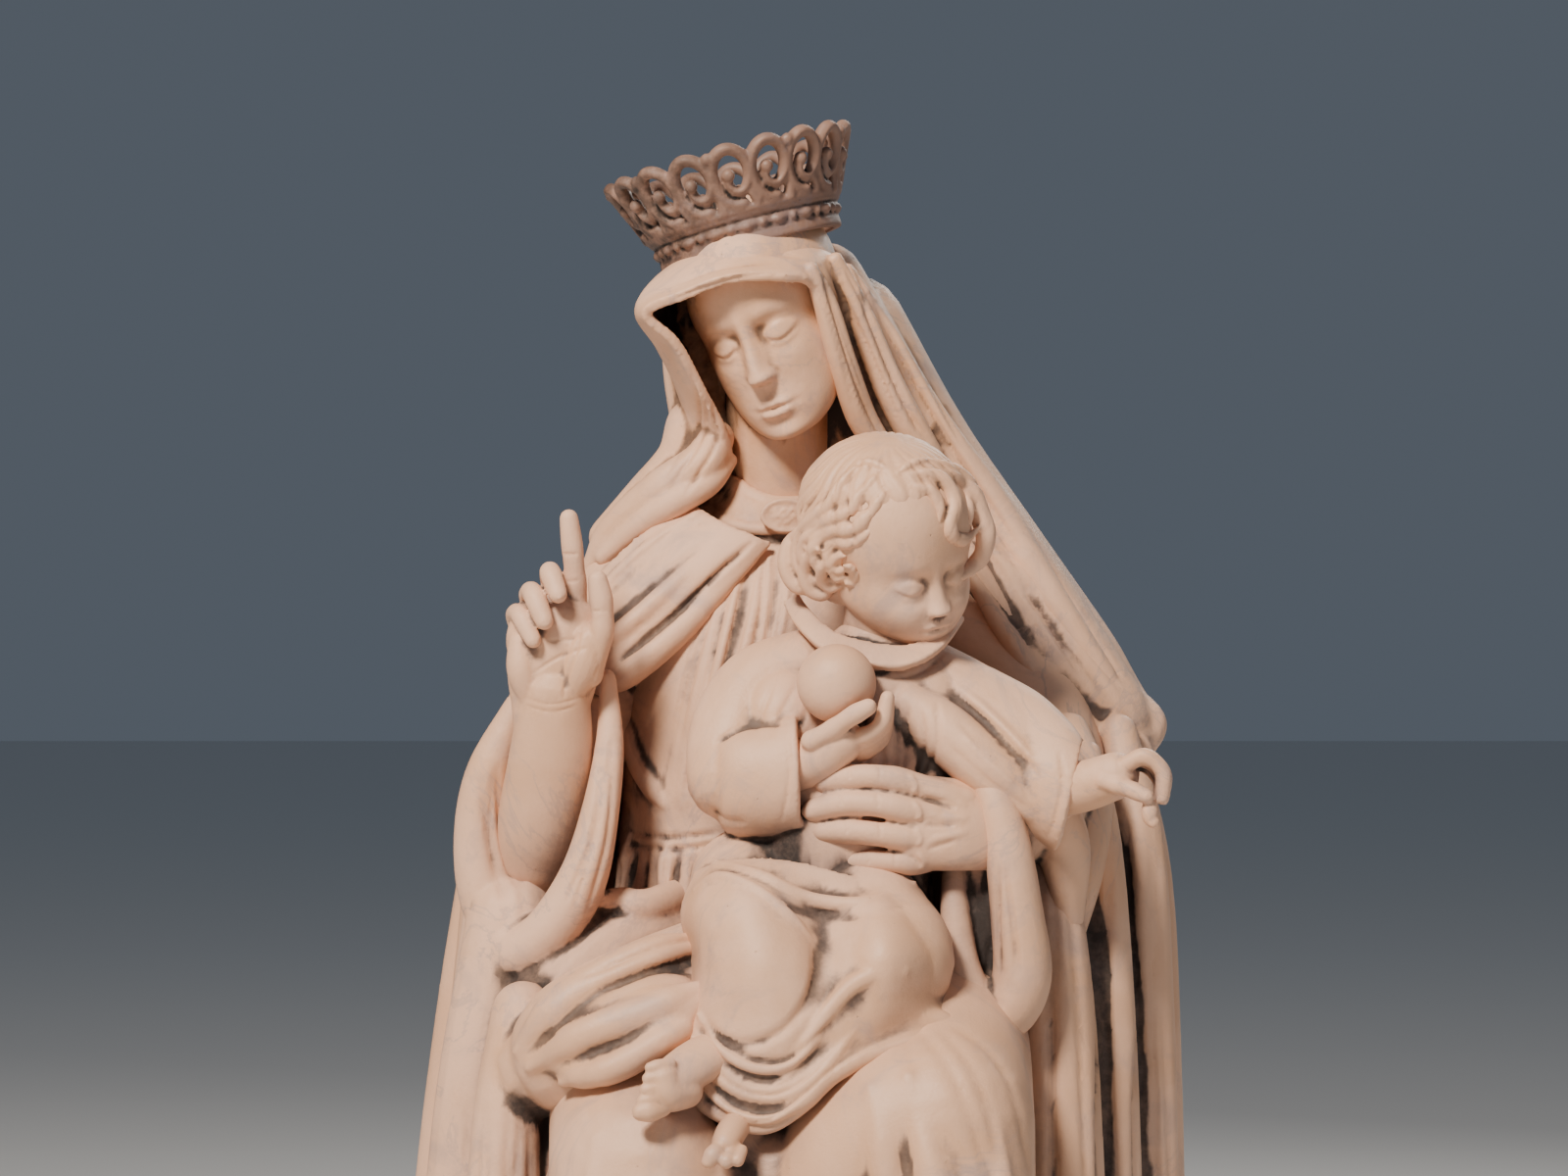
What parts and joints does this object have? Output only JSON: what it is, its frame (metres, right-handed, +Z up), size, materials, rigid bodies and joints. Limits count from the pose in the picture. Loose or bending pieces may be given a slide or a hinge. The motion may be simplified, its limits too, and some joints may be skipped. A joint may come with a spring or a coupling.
{
  "type": "virgin and child statue",
  "caption": "Life-size seated stone figure of the veiled Virgin, a hand raised, holding the Child with an orb on her lap; separate openwork crown; low base.",
  "frame": {"origin": "centre of the base's underside", "axes": "+X to the viewer's right, +Y to the statue's back, +Z up; the figure faces -Y"},
  "size_m": [0.86, 0.9, 1.4945],
  "materials": {
    "marble": "honed, weathered warm white marble with grime in the folds",
    "crown_stone": "weathered brown stone with dark grime"
  },
  "bodies": {
    "root": {"statue": "marble", "crown": "crown_stone"}
  },
  "joints": []
}
